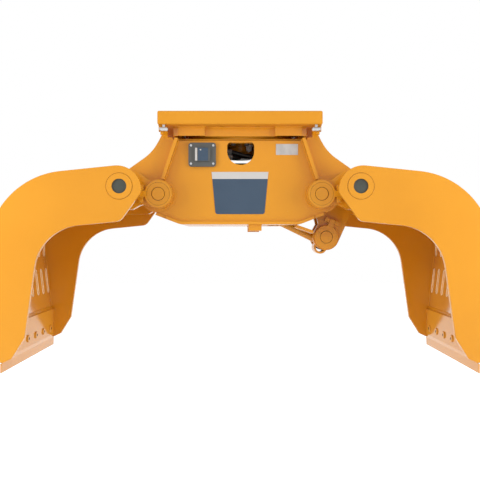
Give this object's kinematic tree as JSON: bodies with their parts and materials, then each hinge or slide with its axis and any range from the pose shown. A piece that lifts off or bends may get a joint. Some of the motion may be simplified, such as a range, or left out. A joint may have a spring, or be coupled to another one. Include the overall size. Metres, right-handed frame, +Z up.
{
  "type": "hydraulic sorting grapple",
  "caption": "Two-jaw rotating demolition and sorting grapple: slotted shell jaws with bolted wear blades, cylinder-driven and tied together, under a slewing bolt-on head.",
  "frame": {"origin": "on the floor under the open jaws, midway between the four side plates", "axes": "+Z up through the slewing axis, X from jaw to jaw, Y along the pivot pins, -Y is the side with the monitor box and the badge"},
  "size_m": [2.3258, 1.006, 1.2255],
  "materials": {
    "paint": "gloss orange-yellow paint",
    "steel": "dark machined steel",
    "zinc": "bright zinc",
    "chrome": "hard chrome",
    "black": "satin black",
    "grey_case": "moulded grey",
    "panel": "blue-grey film",
    "strip": "off-white film",
    "plate": "satin",
    "rubber": "matt",
    "bronze": "bearing bronze"
  },
  "bodies": {
    "head": {"top_plate": "paint", "skirt": "paint", "corner_brackets": "paint", "corner_fittings": "zinc", "gear_ring": "steel", "swivel_core": "steel"},
    "housing": {"front_plate": "paint", "rear_plate": "paint", "end_plates": "paint", "stop_pads": "paint", "bottom_plate": "paint", "guard_strips": "paint", "gusset_ribs": "paint", "pivot_bushes": "bronze", "service_feet": "paint", "deck_plate": "paint", "deck_bolts": "zinc", "race_ring": "steel", "swivel_sleeve": "steel", "slew_motor": "black", "monitor_box": "grey_case", "monitor_screws": "zinc", "badge_strip": "strip", "badge_panel": "panel", "rating_plate": "plate", "valve_block": "black", "feed_tubes": "rubber"},
    "pinion_shaft": {"pinion": "steel"},
    "left_jaw": {"left_side_front": "paint", "left_side_rear": "paint", "left_shell": "paint", "left_edge_base": "paint", "left_wear_blade": "paint", "left_blade_bolts": "paint", "left_cross_tube": "paint", "left_tube_plugs": "steel", "left_outer_arms": "paint", "left_inner_arms": "paint", "left_pivot_pin": "paint", "left_keepers": "paint", "left_inner_pins": "paint"},
    "right_jaw": {"right_side_front": "paint", "right_side_rear": "paint", "right_shell": "paint", "right_edge_base": "paint", "right_wear_blade": "paint", "right_blade_bolts": "paint", "right_cross_tube": "paint", "right_tube_plugs": "steel", "right_outer_arms": "paint", "right_inner_arms": "paint", "right_pivot_pin": "paint", "right_keepers": "paint", "right_inner_pins": "paint"},
    "barrels": {"cylinder_barrels": "black", "cylinder_glands": "steel"},
    "rods": {"cylinder_rods": "chrome"},
    "tie": {"tie_rod": "paint"}
  },
  "joints": [
    {"name": "slew", "type": "hinge", "parent": "head", "child": "housing", "pos_m": [0, 0, 1.13275], "axis": [0, 0, 1], "continuous": true},
    {"name": "pinion_spin", "type": "hinge", "parent": "housing", "child": "pinion_shaft", "pos_m": [0.144, 0, 1.13275], "axis": [0, 0, 1], "continuous": true},
    {"name": "jaw_left", "type": "hinge", "parent": "housing", "child": "left_jaw", "pos_m": [-0.39, 0, 0.833], "axis": [0, -1, 0], "range_deg": [0, 61.2]},
    {"name": "jaw_right", "type": "hinge", "parent": "housing", "child": "right_jaw", "pos_m": [0.39, 0, 0.833], "axis": [0, 1, 0], "range_deg": [0, 61.2]},
    {"name": "barrel_pivot", "type": "hinge", "parent": "left_jaw", "child": "barrels", "pos_m": [-0.32382, 0, 0.9449], "axis": [0, -1, 0], "range_deg": [-61.5, 0]},
    {"name": "rod_slide", "type": "slide", "parent": "barrels", "child": "rods", "axis": [1, 0, 0], "range_m": [0, 0.2657]},
    {"name": "tie_pivot", "type": "hinge", "parent": "left_jaw", "child": "tie", "pos_m": [-0.19311, 0, 0.90603], "axis": [0, -1, 0], "range_deg": [-68.35, 0]}
  ],
  "couplings": [
    {"joint": "pinion_spin", "follows": "slew", "ratio": -4},
    {"joint": "jaw_right", "follows": "jaw_left", "ratio": 1},
    {"joint": "barrel_pivot", "follows": "jaw_left", "ratio": -1},
    {"joint": "rod_slide", "follows": "jaw_left", "m_per_rad": 0.24782},
    {"joint": "tie_pivot", "follows": "jaw_left", "ratio": -1.112}
  ]
}
